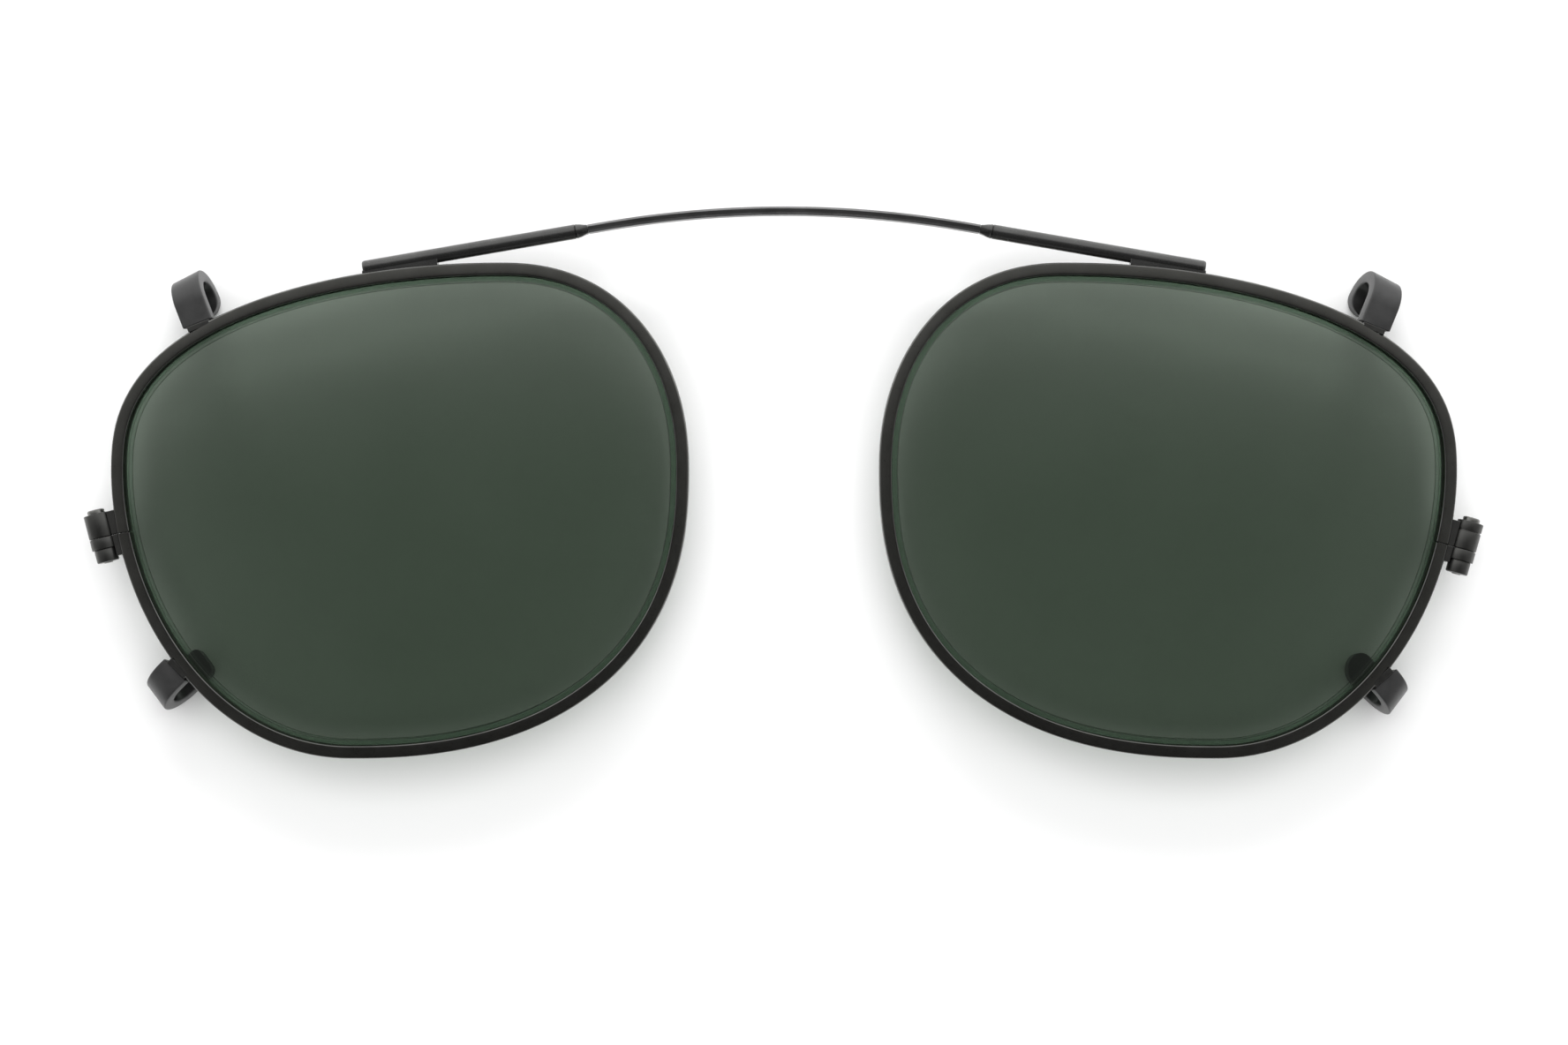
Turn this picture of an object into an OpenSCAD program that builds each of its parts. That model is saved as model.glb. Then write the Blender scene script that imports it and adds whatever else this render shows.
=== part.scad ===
// Clip-on sunglasses: two tinted lenses in metal eyewires, joined by a sprung
// bridge bow, with four plastic-sleeved hooks that grip a pair of spectacles.
// The part lies on its hooks, lens fronts up. +X is the wearer's left as seen
// from the front, +Y is towards the brow, and Z = 0 is the surface below.

/* [Eye shape] */
// Distance from the middle of the bridge to each eye centre
eye_pitch = 36.1; // [34:0.1:40]
// Height of the eye centre against the middle of the part
eye_rise = -2.4; // [-3:0.1:-2]
// Reach of the eyewire from the eye centre towards the temple
eye_temple = 27.5; // [26:0.1:29]
// Reach of the eyewire from the eye centre towards the nose
eye_nose = 27.1; // [25:0.1:28]
// Height of the widest line above the eye centre
eye_wide_y = 3.6; // [2:0.1:5]
// Height of the crest above the eye centre
crest_y = 23.1; // [22.6:0.1:23.4]
// Distance of the crest from the eye centre, towards the nose
crest_x = 9.8; // [8:0.1:11]
// Depth of the lowest point below the eye centre
dip_y = 23.7; // [22:0.1:25]
// Distance of the lowest point from the eye centre, towards the temple
dip_x = 4.8; // [3:0.1:7]
// Radius of the dome that the eyewires and lenses follow
base_radius = 170; // [150:10:400]

/* [Eyewire] */
// Width of the eyewire seen from the front
wire_w = 1.2; // [1:0.05:1.5]
// Depth of the eyewire from front to back
wire_depth = 1.8; // [1.6:0.1:2.2]
// Depth of the groove that holds the lens
groove_d = 0.4; // [0.2:0.05:0.5]
// Width of the saw cut that lets the eyewire open for the lens
split_gap = 0.06; // [0.04:0.01:0.15]

/* [Bridge] */
// Radius of the bow's centre line
bow_radius = 100; // [90:1:110]
// Width of the bow's wire seen from the front
bow_w = 0.78; // [0.7:0.02:0.9]
// Depth of the bow's wire from front to back
bow_depth = 1.7; // [1.3:0.1:1.8]
// Height of the bow's crest above the middle of the part
bow_crest_y = 25.6; // [25.4:0.05:25.8]
// Slope of each tube, downwards from the bow
tube_tilt = 9.8; // [9.5:0.1:10]
// Outer diameter of each spring tube
tube_d = 1.38; // [1.34:0.02:1.5]
// Bore of each spring tube
tube_bore = 1.07; // [1.05:0.01:1.1]
// Length of each spring tube
tube_len = 20.1; // [19.5:0.1:21]
// Diameter of the rod inside the tube
rod_d = 0.6; // [0.5:0.05:0.65]
// Turns in each return spring
spring_turns = 28; // [20:1:30]

/* [Hooks] */
// Depth of a hook, from its front leg to its back leg
hook_depth = 5.5; // [5:0.1:6]
// Thickness of the plastic sleeve over a hook blade
sleeve_t = 1.2; // [1.1:0.05:1.4]
// Width of the plastic sleeve
sleeve_w = 2.9; // [2.6:0.1:3]
// Width of the metal blade
blade_w = 2.2; // [1.8:0.1:2.3]
// Thickness of the metal blade
blade_t = 0.5; // [0.4:0.05:0.6]

/* [Closing blocks] */
// Outer diameter of the closing barrels
barrel_d = 2.45; // [2.2:0.05:2.5]
// Diameter of the closing screw's shank
screw_d = 1.0; // [0.9:0.05:1.1]
// Diameter of the closing screw's head
head_d = 1.6; // [1.5:0.05:1.8]

/* [Hidden] */

$fn = 48;
LEFT = 0;
RIGHT = 1;
eps = 0.02;
tall = 20;

// ---- outline of one eye, with +x towards the temple ----
steps = 26;
// Each quarter: side point, crest or dip point, and the two powers of its curve
QUARTERS = [
    [[eye_temple, eye_wide_y], [-crest_x, crest_y], [2, 2.5]],
    [[-eye_nose, eye_wide_y], [-crest_x, crest_y], [2.2, 2.15]],
    [[-eye_nose, eye_wide_y], [dip_x, -dip_y], [2.35, 2.4]],
    [[eye_temple, eye_wide_y], [dip_x, -dip_y], [2.05, 1.9]]];
TEMPLE_UP = 0;
TEMPLE_DOWN = 3;

// Point on quarter q at angle t from its side point
function eye_point(q, t) =
    let (side = QUARTERS[q][0], tip = QUARTERS[q][1], power = QUARTERS[q][2])
    [tip[0] + (side[0] - tip[0]) * pow(cos(t), 2 / power[0]),
     side[1] + (tip[1] - side[1]) * pow(sin(t), 2 / power[1])];

// Quarters 0 and 2 run away from their side point, 1 and 3 run back to it
eye_curve = [for (q = [0:3]) for (i = [0:steps - 1])
    eye_point(q, 90 / steps * (q % 2 == 0 ? i : steps - i))];

function inward(a, b) = let (d = b - a) [-d[1], d[0]] / norm(d);
// Eye outline moved inwards by d
function eye_outline(d) = let (n = len(eye_curve))
    [for (i = [0:n - 1])
        eye_curve[i] + d * inward(eye_curve[(i + n - 1) % n], eye_curve[(i + 1) % n])];

// ---- heights ----
// Middle plane of a hook's front leg, and radius of its bend
hook_z = hook_depth - sleeve_t / 2;
// The sleeves' backs are faced off by this much, so that they lie flat
faced = 0.02;
bend_r = (hook_depth + faced - sleeve_t) / 2;
function sag(p) = base_radius - sqrt(base_radius * base_radius - p[0] * p[0] - p[1] * p[1]);
hook_base = eye_point(TEMPLE_UP, 40);
dome_z = hook_z + wire_depth / 2 + sag(hook_base);
// Height of the groove, and how far the lens's faces and bevel keep clear of the eyewire
groove_h = 0.6;
lens_inset = 0.35;
lens_front = 0.2;
lens_back = 0.05;
bevel_play = 0.05;
// Height of the eyewire's middle at a point in the eye's own frame
function wire_z(p) = dome_z - wire_depth / 2 - sag(p);

// ---- bridge ----
// The bow ends on the tubes' axes, at bow_end
bow_end = [bow_radius * sin(tube_tilt), bow_crest_y - bow_radius * (1 - cos(tube_tilt))];
saddle_x = [-3.4, 3.7];
saddle_drop = 3;
saddle_t = 1.2;
tube_z = wire_z([0, crest_y]);
bow_chamfer = 0.2;
end_grow = 0.03;
end_back = 0.15;
cone_start = 1.55;
cone_len = 0.95;
cone_d = 0.9;
flange_len = 0.2;
tube_start = cone_start + cone_len + flange_len;
tube_end = tube_start + tube_len;
collar_d = 1.3;
collar_reach = 1;
stop_len = 1.2;
stop_back = 3;
stop_end = tube_end - stop_back;
stop_start = stop_end - stop_len;
plug_reach = 1;
plug_head = 0.3;
slip = 0.03;
spring_wire = 0.12;
spring_r = (rod_d + tube_bore) / 4;

// ---- hooks: [left, right] values; angles are from +x, in the eye's frame ----
UPPER = 0;
LOWER = 1;
hook_quarter = [TEMPLE_UP, TEMPLE_DOWN];
hook_place = [[39.1, 38.1], [44.5, 47]];
hook_angle = [[69, 68], [-44.4, -48]];
hook_reach = [[5.2, 5.3], [3.9, 3.25]];
tip_reach = [[1.1, 1.3], [-1.7, -2.57]];
// Each hook is bent a little askew: slope of its bend across the strip, and sideways slope of its depth
bend_skew = [[0.11, 0.1], [-0.14, -0.2]];
side_step = [[-0.11, -0.22], [0.18, 0.13]];
// Corner radius of a tip, as a part of its width
tip_round = [[0.5, 0.5], [0.25, 0.5]];
// Upper and lower hooks
foot_in = [0.12, 0.3];
foot_out = 0.3;
foot_gap = 0.02;
tip_cover = 0.6;

// ---- closing blocks: [left, right] values ----
block_place = [13.87, 16.24];
block_lean = [14.5, 16];
barrel_out = 1.65;
upper_len = [2.3, 2.7];
lower_len = 2.3;
collar_len = 1.05;
lower_d = 2.1;
groove_at = 1.75;
groove_w = 0.12;
groove_cut = 0.15;
plate_up = [2.27, 2.45];
plate_down = [2, 1.55];
plate_z = 1.5;
head_h = 0.42;
slot_d = 0.2;
slot_w = 0.25;

// ---- placement helpers ----
module in_eye(side) {
    mirror([side == LEFT ? 1 : 0, 0, 0]) translate([eye_pitch, eye_rise, 0]) children();
}

// Along a tube: local z runs from the bow's end outwards
module on_tube(side) {
    mirror([side == LEFT ? 1 : 0, 0, 0]) translate([bow_end[0], bow_end[1], tube_z])
        rotate([0, 0, -tube_tilt]) rotate([0, 90, 0]) children();
}

module ring(d, bore, from, to) {
    difference() {
        translate([0, 0, from]) cylinder(d = d, h = to - from);
        translate([0, 0, from - 1]) cylinder(d = bore, h = to - from + 2);
    }
}

module prism(points) {
    linear_extrude(tall, center = true) polygon(points);
}

module dome(depth) {
    translate([0, 0, dome_z - base_radius]) sphere(base_radius - depth, $fn = 240);
}

// Plate that follows the dome, between two depths below its front
module domed_plate(points, front, back) {
    difference() {
        intersection() {
            translate([0, 0, dome_z - 6]) linear_extrude(8) polygon(points);
            dome(front);
        }
        dome(back);
    }
}

// Local x runs outwards along a hook, from the eyewire's outer edge
module at_hook(side, row) {
    p = eye_point(hook_quarter[row], hook_place[row][side]);
    in_eye(side) translate([p[0], p[1], hook_z])
        rotate([0, 0, hook_angle[row][side]]) children();
}

// Local y runs up along a closing block's barrel, from the split in the eyewire
module at_block(side) {
    p = eye_point(TEMPLE_DOWN, block_place[side]);
    in_eye(side) translate([p[0], p[1], wire_z(p)]) rotate([0, 0, -block_lean[side]]) children();
}

// ---- eyewires and lenses ----
module rim(side) {
    color([0.24, 0.24, 0.23]) difference() {
        in_eye(side) difference() {
            domed_plate(eye_outline(0), 0, wire_depth);
            prism(eye_outline(wire_w));
            domed_plate(eye_outline(wire_w - groove_d), (wire_depth - groove_h) / 2, (wire_depth + groove_h) / 2);
        }
        at_block(side) translate([-3, -split_gap / 2, -2]) cube([4, split_gap, 4]);
        for (row = [UPPER, LOWER]) at_hook(side, row) foot(row, 1);
        on_tube(side) translate([0, 0, tube_start]) cylinder(d = tube_d, h = tube_len + 2);
    }
}

module lens(side) {
    color([0.28, 0.34, 0.28, 0.6]) in_eye(side) {
        domed_plate(eye_outline(wire_w + lens_inset), lens_front, wire_depth - lens_back);
        domed_plate(eye_outline(wire_w - groove_d + bevel_play),
            (wire_depth - groove_h) / 2 + bevel_play, (wire_depth + groove_h) / 2 - bevel_play);
    }
}

// ---- bridge ----
// Section of the bow's wire: w across, t through, with chamfered edges
module wire_section(w, t) {
    c = bow_chamfer;
    polygon([[-w / 2 + c, -t / 2], [w / 2 - c, -t / 2], [w / 2, -t / 2 + c], [w / 2, t / 2 - c],
        [w / 2 - c, t / 2], [-w / 2 + c, t / 2], [-w / 2, t / 2 - c], [-w / 2, -t / 2 + c]]);
}

// The bow's rectangular wire ends in a round rod in each tube
module bridge_bow() {
    color([0.45, 0.45, 0.45]) {
        translate([0, bow_crest_y - bow_radius, tube_z]) rotate([0, 0, 90 - tube_tilt])
            rotate_extrude(angle = 2 * tube_tilt, $fn = 96) translate([bow_radius, 0])
                wire_section(bow_w, bow_depth);
        for (side = [LEFT, RIGHT]) on_tube(side) {
            translate([0, 0, -end_back]) rotate([0, 0, 90])
                linear_extrude(end_back + cone_start - eps)
                    wire_section(bow_w + 2 * end_grow, bow_depth + 2 * end_grow);
            translate([0, 0, cone_start - 0.5]) cylinder(d = rod_d, h = stop_end - cone_start + 0.5);
        }
    }
}

module rod_stop(side) {
    color([0.5, 0.5, 0.5]) on_tube(side) ring(tube_bore - 2 * slip, rod_d, stop_start, stop_end);
}

module nose_collar(side) {
    bore = rod_d + 2 * slip;
    color([0.3, 0.3, 0.3]) on_tube(side) {
        difference() {
            translate([0, 0, cone_start]) cylinder(d1 = cone_d, d2 = collar_d, h = cone_len);
            translate([0, 0, cone_start - 1]) cylinder(d = bore, h = cone_len + 2);
        }
        ring(collar_d, bore, cone_start + cone_len, tube_start);
        ring(tube_bore - eps, bore, tube_start, tube_start + collar_reach);
    }
}

module tube(side) {
    color([0.28, 0.28, 0.28]) on_tube(side) ring(tube_d, tube_bore, tube_start, tube_end);
}

module end_plug(side) {
    color([0.28, 0.28, 0.28]) on_tube(side) {
        translate([0, 0, tube_end - plug_reach]) cylinder(d = tube_bore - eps, h = plug_reach);
        translate([0, 0, tube_end]) cylinder(d1 = tube_d, d2 = tube_d - plug_head, h = plug_head);
    }
}

// Filler between a tube and the crest of the eyewire
module tube_saddle(side) {
    color([0.27, 0.28, 0.28]) difference() {
        in_eye(side) difference() {
            translate([saddle_x[0], crest_y - saddle_drop, tube_z - saddle_t / 2])
                cube([saddle_x[1] - saddle_x[0], saddle_drop + 0.4, saddle_t]);
            prism(eye_curve);
        }
        on_tube(side) cylinder(d = tube_d, h = tube_end + 1);
        on_tube(side) translate([-3, -0.25, 0]) cube([6, 6, tube_end + 1]);
    }
}

// A helix of round wire around local z
function coil_ring(i, n, len, sides) = let (a = 360 * spring_turns * i / n, z = len * i / n)
    [for (k = [0:sides - 1]) let (b = 360 * k / sides, r = spring_r + spring_wire / 2 * cos(b))
        [r * cos(a), r * sin(a), z + spring_wire / 2 * sin(b)]];

module coil(len) {
    sides = 5;
    n = spring_turns * 12;
    points = [for (i = [0:n]) each coil_ring(i, n, len, sides)];
    walls = [for (i = [0:n - 1]) for (k = [0:sides - 1]) let (m = (k + 1) % sides)
        [i * sides + k, i * sides + m, (i + 1) * sides + m, (i + 1) * sides + k]];
    first = [for (k = [sides - 1:-1:0]) k];
    last = [for (k = [0:sides - 1]) n * sides + k];
    polyhedron(points, concat([first], walls, [last]), convexity = 10);
}

module spring(side) {
    from = tube_start + collar_reach + spring_wire;
    color([0.7, 0.7, 0.7]) on_tube(side)
        translate([0, 0, from]) coil(stop_start - spring_wire - from);
}

// ---- hooks ----
// A strip of the given thickness bent back on itself, from start to tip
module hook_strip(t, w, start, bend_x, tip) {
    rotate([90, 0, 0]) linear_extrude(w, center = true) {
        if (bend_x > start) translate([start, -t / 2]) square([bend_x - start, t]);
        difference() {
            translate([bend_x, -bend_r]) circle(bend_r + t / 2);
            translate([bend_x, -bend_r]) circle(bend_r - t / 2);
            translate([bend_x - 10, -10]) square([10, 20]);
            translate([-20, -bend_r]) square([20 + start, 20]);
        }
        if (bend_x > tip) translate([tip, -2 * bend_r - t / 2]) square([bend_x - tip, t]);
    }
}

// What is cut off the free end of a strip of width w to round its corners, seen from the front
module tip_corners(w, tip, r) {
    difference() {
        translate([tip - 1, -w, -2 * bend_r - 1]) cube([1 + r, 2 * w, bend_r + 1 - eps]);
        for (y = [r - w / 2, w / 2 - r]) translate([tip + r, y, -2 * bend_r - 2])
            cylinder(r = r, h = bend_r + 3);
        if (r < w / 2) translate([tip, r - w / 2, -2 * bend_r - 2])
            cube([2 * r, w - 2 * r, bend_r + 3]);
    }
}

module askew(side, row) {
    multmatrix([[1, bend_skew[row][side], 0], [0, 1, side_step[row][side]], [0, 0, 1]]) children();
}

module bent_blade(side, row, t, w, start, tip) {
    bend_x = hook_reach[row][side] - bend_r - sleeve_t / 2;
    at_hook(side, row) askew(side, row) difference() {
        hook_strip(t, w, start, bend_x, tip);
        tip_corners(w, tip, w * tip_round[row][side]);
    }
}

// The end of the blade that is let into the eyewire and brazed
module foot(row, room) {
    translate([-foot_in[row], -blade_w / 2, -wire_depth / 2 + 0.1 - room])
        cube([foot_in[row] + foot_out, blade_w, wire_depth - 0.2 + 2 * room]);
}

module hook(side, row) {
    color([0.35, 0.35, 0.34]) {
        at_hook(side, row) foot(row, 0);
        bent_blade(side, row, blade_t, blade_w, 0, tip_reach[row][side] + tip_cover);
    }
}

module sleeve(side, row) {
    tip = tip_reach[row][side];
    color([0.32, 0.32, 0.32]) difference() {
        bent_blade(side, row, sleeve_t, sleeve_w, 0, tip);
        bent_blade(side, row, blade_t, blade_w, 0, tip + tip_cover);
        at_hook(side, row) {
            translate([-1, -sleeve_w, -bend_r])
                cube([1 + foot_out + foot_gap, 2 * sleeve_w, 2 * bend_r]);
            translate([-tall / 2, -tall / 2, -hook_z - 1])
                cube([tall, tall, 1]);
        }
    }
}

// ---- closing blocks ----
module barrel(d, from, to, bore) {
    rotate([-90, 0, 0]) ring(d, bore, from, to);
}

module plate(side, from, to) {
    difference() {
        at_block(side) translate([-1.5, from, -plate_z / 2]) cube([barrel_out + 1, to - from, plate_z]);
        in_eye(side) prism(eye_curve);
        at_block(side) translate([barrel_out, from - 1, 0]) rotate([-90, 0, 0])
            cylinder(d = barrel_d - 0.1, h = to - from + 2);
    }
}

module closing_block_upper(side) {
    color([0.29, 0.29, 0.29]) {
        difference() {
            at_block(side) translate([barrel_out, 0, 0])
                barrel(barrel_d, split_gap / 2, upper_len[side], screw_d + 2 * slip);
            if (side == RIGHT) at_block(side) translate([barrel_out, 0, 0])
                barrel(barrel_d + 1, groove_at, groove_at + groove_w, barrel_d - groove_cut);
            in_eye(side) prism(eye_curve);
        }
        plate(side, split_gap / 2, plate_up[side]);
    }
}

module closing_block_lower(side) {
    color([0.29, 0.29, 0.29]) {
        difference() {
            at_block(side) translate([barrel_out, 0, 0]) {
                barrel(barrel_d, -split_gap / 2 - collar_len, -split_gap / 2, screw_d);
                barrel(lower_d, -split_gap / 2 - lower_len, -split_gap / 2 - collar_len, screw_d);
            }
            in_eye(side) prism(eye_curve);
        }
        plate(side, -plate_down[side], -split_gap / 2);
    }
}

module closing_screw(side) {
    color([0.6, 0.6, 0.58]) difference() {
        at_block(side) translate([barrel_out, 0, 0]) rotate([-90, 0, 0]) {
            translate([0, 0, -split_gap / 2 - lower_len - 0.1])
                cylinder(d = screw_d, h = upper_len[side] + lower_len + split_gap + 0.2);
            translate([0, 0, upper_len[side]]) cylinder(d = head_d, h = head_h);
        }
        at_block(side) translate([barrel_out - 2, upper_len[side] + head_h - slot_d, -slot_w / 2])
            cube([4, 1, slot_w]);
    }
}

bridge_bow();
rod_stop(LEFT);  // rod_stop_left
rod_stop(RIGHT);  // rod_stop_right
spring(LEFT);  // spring_left
spring(RIGHT);  // spring_right
nose_collar(LEFT);  // nose_collar_left
nose_collar(RIGHT);  // nose_collar_right
tube(LEFT);  // tube_left
tube(RIGHT);  // tube_right
end_plug(LEFT);  // end_plug_left
end_plug(RIGHT);  // end_plug_right
tube_saddle(LEFT);  // tube_saddle_left
tube_saddle(RIGHT);  // tube_saddle_right
rim(LEFT);  // rim_left
rim(RIGHT);  // rim_right
lens(LEFT);  // lens_left
lens(RIGHT);  // lens_right
hook(LEFT, UPPER);  // hook_upper_left
hook(RIGHT, UPPER);  // hook_upper_right
hook(LEFT, LOWER);  // hook_lower_left
hook(RIGHT, LOWER);  // hook_lower_right
sleeve(LEFT, UPPER);  // sleeve_upper_left
sleeve(RIGHT, UPPER);  // sleeve_upper_right
sleeve(LEFT, LOWER);  // sleeve_lower_left
sleeve(RIGHT, LOWER);  // sleeve_lower_right
closing_block_upper(LEFT);  // closing_block_upper_left
closing_block_upper(RIGHT);  // closing_block_upper_right
closing_block_lower(LEFT);  // closing_block_lower_left
closing_block_lower(RIGHT);  // closing_block_lower_right
closing_screw(LEFT);  // closing_screw_left
closing_screw(RIGHT);  // closing_screw_right
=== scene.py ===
import math

import bmesh
import bpy
from mathutils import Matrix, Vector


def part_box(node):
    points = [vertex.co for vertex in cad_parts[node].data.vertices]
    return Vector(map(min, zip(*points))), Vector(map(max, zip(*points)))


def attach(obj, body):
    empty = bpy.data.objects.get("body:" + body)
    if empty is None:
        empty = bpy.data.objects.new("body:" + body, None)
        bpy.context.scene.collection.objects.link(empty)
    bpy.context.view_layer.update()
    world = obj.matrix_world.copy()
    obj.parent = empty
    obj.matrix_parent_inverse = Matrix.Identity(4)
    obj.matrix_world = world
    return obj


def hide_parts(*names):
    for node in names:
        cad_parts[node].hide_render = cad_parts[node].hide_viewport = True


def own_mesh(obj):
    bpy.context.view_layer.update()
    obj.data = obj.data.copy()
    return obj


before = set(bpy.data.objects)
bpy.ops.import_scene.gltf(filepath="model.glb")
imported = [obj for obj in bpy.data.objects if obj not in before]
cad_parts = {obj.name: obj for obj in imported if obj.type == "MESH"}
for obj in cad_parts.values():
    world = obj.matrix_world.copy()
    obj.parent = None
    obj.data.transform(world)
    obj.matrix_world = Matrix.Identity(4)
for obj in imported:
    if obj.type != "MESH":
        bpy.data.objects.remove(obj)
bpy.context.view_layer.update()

# ---- design sizes, in millimetres, as the frame has them ----
MM = 0.001
LEFT, RIGHT = "left", "right"
SIDES = (LEFT, RIGHT)
SIGN = {LEFT: -1, RIGHT: 1}
UPPER, LOWER = "upper", "lower"

EYE_NOSE = 27.1
EYE_TEMPLE = 27.5
EYE_WIDE_Y = 3.6
CREST = (-9.8, 23.1)
DIP = (4.8, -23.7)
BASE_RADIUS = 170
# Each quarter of the eye outline: its side point, its crest or dip, and the powers of its curve
QUARTERS = (
    ((EYE_TEMPLE, EYE_WIDE_Y), CREST, (2, 2.5)),
    ((-EYE_NOSE, EYE_WIDE_Y), CREST, (2.2, 2.15)),
    ((-EYE_NOSE, EYE_WIDE_Y), DIP, (2.35, 2.4)),
    ((EYE_TEMPLE, EYE_WIDE_Y), DIP, (2.05, 1.9)),
)
TEMPLE_UP, TEMPLE_DOWN = 0, 3

WIRE_W = 1.2
WIRE_DEPTH = 1.8
GROOVE_D = 0.4
SPLIT_GAP = 0.06

BOW_RADIUS = 100
BOW_W = 0.78
BOW_DEPTH = 1.7
BOW_CHAMFER = 0.2
TUBE_TILT = math.radians(9.8)
TUBE_D = 1.38
TUBE_BORE = 1.07
TUBE_LEN = 20.1
ROD_D = 0.6
CONE_START = 1.55
# The bow's straight ends: first ring after the arc, and where the wire turns into the rod
BOW_END_START = 0.3
WIRE_END = CONE_START - 0.03
CONE_LEN = 0.95
FLANGE_LEN = 0.2
TUBE_START = CONE_START + CONE_LEN + FLANGE_LEN
TUBE_END = TUBE_START + TUBE_LEN
COLLAR_D = 1.3
COLLAR_REACH = 1.0
# Gaps all round between parts that slide, and between parts fixed in each other
RUNNING_GAP = 0.03
FIT_GAP = 0.01
STOP_LEN = 1.2
STOP_BACK = 3
STOP_END = TUBE_END - STOP_BACK
STOP_START = STOP_END - STOP_LEN

HOOK_DEPTH = 5.5
SLEEVE_T = 1.2
SLEEVE_W = 2.9
BLADE_W = 2.2
BLADE_T = 0.5
HOOK_Z = HOOK_DEPTH - SLEEVE_T / 2
BEND_R = (HOOK_DEPTH - SLEEVE_T) / 2
FOOT_IN = {UPPER: 0.2, LOWER: 0.3}
FOOT_OUT = 0.3
FOOT_GAP = 0.02
SLEEVE_START = FOOT_OUT + FOOT_GAP
TIP_COVER = 0.6
# Each hook: quarter, place on it and direction in degrees, outward reach, and where its tip ends
HOOKS = {
    (UPPER, LEFT): (TEMPLE_UP, 39.1, 69, 5.2, 1.1),
    (UPPER, RIGHT): (TEMPLE_UP, 38.1, 68, 5.3, 1.3),
    (LOWER, LEFT): (TEMPLE_DOWN, 44.5, -44.4, 3.9, -1.7),
    (LOWER, RIGHT): (TEMPLE_DOWN, 47, -48, 3.25, -2.57),
}
# How each hook is askew: slope of its bend, sideways slope of its depth, and its tip's corner radius
# as a part of its width
ASKEW = {
    (UPPER, LEFT): (0.11, -0.11, 0.5),
    (UPPER, RIGHT): (0.1, -0.22, 0.5),
    (LOWER, LEFT): (-0.14, 0.18, 0.25),
    (LOWER, RIGHT): (-0.2, 0.13, 0.5),
}

# Closing blocks: the barrels' sizes, and each side's place on the eyewire, lean and lengths
BARREL_D = 2.45
BARREL_OUT = 1.65
LOWER_D = 2.1
BLOCK_PLACE = {LEFT: 13.87, RIGHT: 16.24}
BLOCK_LEAN = {LEFT: 14.5, RIGHT: 16}
UPPER_LEN = {LEFT: 2.3, RIGHT: 2.7}
GROOVE_AT, GROOVE_W = 1.75, 0.12
LOWER_LEN = 2.3
LOWER_COLLAR = 1.05
SCREW_D = 1.0
HEAD_D = 1.6
HEAD_H = 0.42
PLATE_UP = {LEFT: 2.27, RIGHT: 2.45}
PLATE_DOWN = {LEFT: 2, RIGHT: 1.55}
PLATE_Z = 1.5

rim_low, rim_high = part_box("rim_right")
EYE_X = rim_low.x / MM + EYE_NOSE
EYE_Y = rim_high.y / MM - CREST[1]
bow_low, bow_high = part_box("bridge_bow")
TUBE_Z = (bow_low.z + bow_high.z) / 2 / MM
BOW_TOP = bow_high.y / MM - BOW_W / 2


# ---- eye outline ----
def quarter_point(q, degrees):
    side, tip, power = QUARTERS[q]
    t = math.radians(degrees)
    c = max(math.cos(t), 0.0)
    s = max(math.sin(t), 0.0)
    return Vector((tip[0] + (side[0] - tip[0]) * c ** (2 / power[0]),
                   side[1] + (tip[1] - side[1]) * s ** (2 / power[1])))


def dense_outline(steps=400):
    points = []
    for q in range(4):
        for i in range(steps):
            k = i if q % 2 == 0 else steps - i
            points.append(quarter_point(q, 90 * k / steps))
    return points


class Outline:
    """The eyewire's outer edge, by arc length in millimetres from the temple's side point."""

    def __init__(self):
        self.points = dense_outline()
        self.at = [0.0]
        n = len(self.points)
        for i in range(n):
            self.at.append(self.at[-1] + (self.points[(i + 1) % n] - self.points[i]).length)
        self.length = self.at[-1]

    def point(self, s):
        s %= self.length
        low, high = 0, len(self.points)
        while high - low > 1:
            mid = (low + high) // 2
            if self.at[mid] <= s:
                low = mid
            else:
                high = mid
        a = self.points[low]
        b = self.points[(low + 1) % len(self.points)]
        return a.lerp(b, (s - self.at[low]) / max(self.at[low + 1] - self.at[low], 1e-9))

    def tangent(self, s, reach=0.35):
        return (self.point(s + reach) - self.point(s - reach)).normalized()

    def inset(self, s, d):
        t = self.tangent(s)
        return self.point(s) + Vector((-t.y, t.x)) * d

    def nearest(self, p):
        best = min(range(len(self.points)), key=lambda i: (self.points[i] - p).length)
        return self.at[best]


OUTLINE = Outline()


def sag(p):
    return BASE_RADIUS - math.sqrt(BASE_RADIUS ** 2 - p[0] ** 2 - p[1] ** 2)


DOME_Z = HOOK_Z + WIRE_DEPTH / 2 + sag(quarter_point(TEMPLE_UP, 40))


def on_dome(p, depth):
    """A point of the eye's own plane, lifted to a depth under the front dome."""
    z = DOME_Z - BASE_RADIUS + math.sqrt((BASE_RADIUS - depth) ** 2 - p[0] ** 2 - p[1] ** 2)
    return Vector((p[0], p[1], z))


def wire_z(p):
    return DOME_Z - WIRE_DEPTH / 2 - sag(p)


# ---- placement: each returns a function from local millimetres to the frame, in metres ----
def eye_place(side):
    return Matrix.Diagonal((SIGN[side] * MM, MM, MM, 1)) @ Matrix.Translation((EYE_X, EYE_Y, 0))


def tube_place(side):
    """Local x runs outwards along the tube, from the bow's end."""
    end = (BOW_RADIUS * math.sin(TUBE_TILT), BOW_TOP - BOW_RADIUS * (1 - math.cos(TUBE_TILT)), TUBE_Z)
    return (Matrix.Diagonal((SIGN[side] * MM, MM, MM, 1)) @ Matrix.Translation(end)
            @ Matrix.Rotation(-TUBE_TILT, 4, "Z"))


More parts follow.
